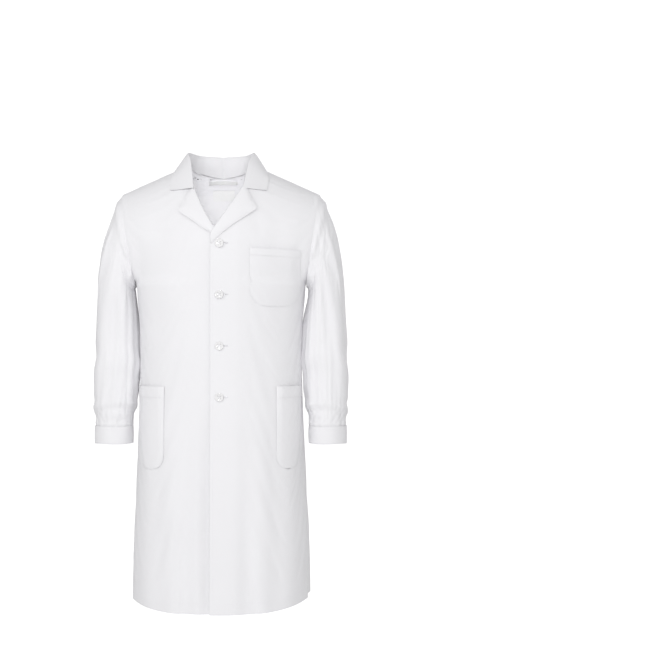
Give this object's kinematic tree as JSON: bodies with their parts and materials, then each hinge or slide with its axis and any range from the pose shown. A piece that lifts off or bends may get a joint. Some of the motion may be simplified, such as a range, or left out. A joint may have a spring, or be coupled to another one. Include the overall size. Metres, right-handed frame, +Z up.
{
  "type": "lab coat",
  "caption": "Knee-length white lab coat with notched lapels, long cuffed sleeves, patch pockets and a button front that swings open.",
  "frame": {"origin": "middle of the hanger loop's top edge, inside the back of the neck", "axes": "+Z up, the front faces -Y, the wearer's left is +X"},
  "size_m": [0.596, 0.3041, 1.0444],
  "materials": {
    "cloth": "matte plain-weave cotton and polyester",
    "facing_cloth": "matte plain-weave cotton and polyester, fused",
    "button": "satin polyester resin",
    "thread": "spun thread",
    "tape": "woven tape"
  },
  "bodies": {
    "torso": {"back_left": "cloth", "back_right": "cloth", "front_side_left": "cloth", "front_side_right": "cloth", "top_collar": "cloth", "under_collar": "facing_cloth", "back_neck_facing": "facing_cloth", "hanger_loop": "tape", "neck_label": "tape", "chest_pocket": "cloth", "hip_pocket_left": "cloth", "hip_pocket_right": "cloth"},
    "left_front": {"front_left": "cloth", "facing_left": "facing_cloth", "lapel_left": "cloth", "chest_pocket_edge": "cloth", "buttonhole_1": "cloth", "buttonhole_2": "cloth", "buttonhole_3": "cloth", "buttonhole_4": "cloth"},
    "right_front": {"front_right": "cloth", "facing_right": "facing_cloth", "lapel_right": "cloth", "button_threads": "thread"},
    "button_1": {"front_button_1": "button"},
    "button_2": {"front_button_2": "button"},
    "button_3": {"front_button_3": "button"},
    "button_4": {"front_button_4": "button"},
    "upper_arm_left": {"upper_sleeve_left": "cloth", "elbow_sleeve_left": "cloth"},
    "upper_arm_right": {"upper_sleeve_right": "cloth", "elbow_sleeve_right": "cloth"},
    "forearm_left": {"lower_sleeve_left": "cloth", "cuff_left": "cloth", "cuff_button_left": "button"},
    "forearm_right": {"lower_sleeve_right": "cloth", "cuff_right": "cloth", "cuff_button_right": "button"}
  },
  "joints": [
    {"name": "left_front_open", "type": "hinge", "parent": "torso", "child": "left_front", "pos_m": [0.148, -0.1698, -0.985], "axis": [-0.0593, 0, 0.9982], "range_deg": [0, 100], "deforming": ["buttonhole_1", "buttonhole_2", "buttonhole_3", "buttonhole_4"]},
    {"name": "right_front_open", "type": "hinge", "parent": "torso", "child": "right_front", "pos_m": [-0.148, -0.1698, -0.985], "axis": [-0.0593, 0, -0.9982], "range_deg": [0, 60]},
    {"name": "shoulder_left", "type": "hinge", "parent": "torso", "child": "upper_arm_left", "pos_m": [0.2315, -0.0438, -0.033], "axis": [0, -1, 0], "range_deg": [0, 75]},
    {"name": "shoulder_right", "type": "hinge", "parent": "torso", "child": "upper_arm_right", "pos_m": [-0.2315, -0.0438, -0.033], "axis": [0, 1, 0], "range_deg": [0, 75]},
    {"name": "elbow_left", "type": "hinge", "parent": "upper_arm_left", "child": "forearm_left", "pos_m": [0.249, -0.0438, -0.385], "axis": [-1, 0, 0], "range_deg": [0, 90], "deforming": ["elbow_sleeve_left"]},
    {"name": "elbow_right", "type": "hinge", "parent": "upper_arm_right", "child": "forearm_right", "pos_m": [-0.249, -0.0438, -0.385], "axis": [-1, 0, 0], "range_deg": [0, 90], "deforming": ["elbow_sleeve_right"]},
    {"name": "button_1_turn", "type": "hinge", "parent": "right_front", "child": "button_1", "pos_m": [0.005, -0.1792, -0.156], "axis": [0, -1, 0], "range_deg": [-45, 45], "stiffness_Nm_per_rad": 0.0002},
    {"name": "button_2_turn", "type": "hinge", "parent": "right_front", "child": "button_2", "pos_m": [0.005, -0.18279, -0.271], "axis": [0, -1, 0], "range_deg": [-45, 45], "stiffness_Nm_per_rad": 0.0002},
    {"name": "button_3_turn", "type": "hinge", "parent": "right_front", "child": "button_3", "pos_m": [0.005, -0.18069, -0.386], "axis": [0, -1, 0], "range_deg": [-45, 45], "stiffness_Nm_per_rad": 0.0002},
    {"name": "button_4_turn", "type": "hinge", "parent": "right_front", "child": "button_4", "pos_m": [0.005, -0.18078, -0.501], "axis": [0, -1, 0], "range_deg": [-45, 45], "stiffness_Nm_per_rad": 0.0002}
  ],
  "couplings": [
    {"joint": "right_front_open", "follows": "left_front_open", "ratio": 0.6}
  ]
}
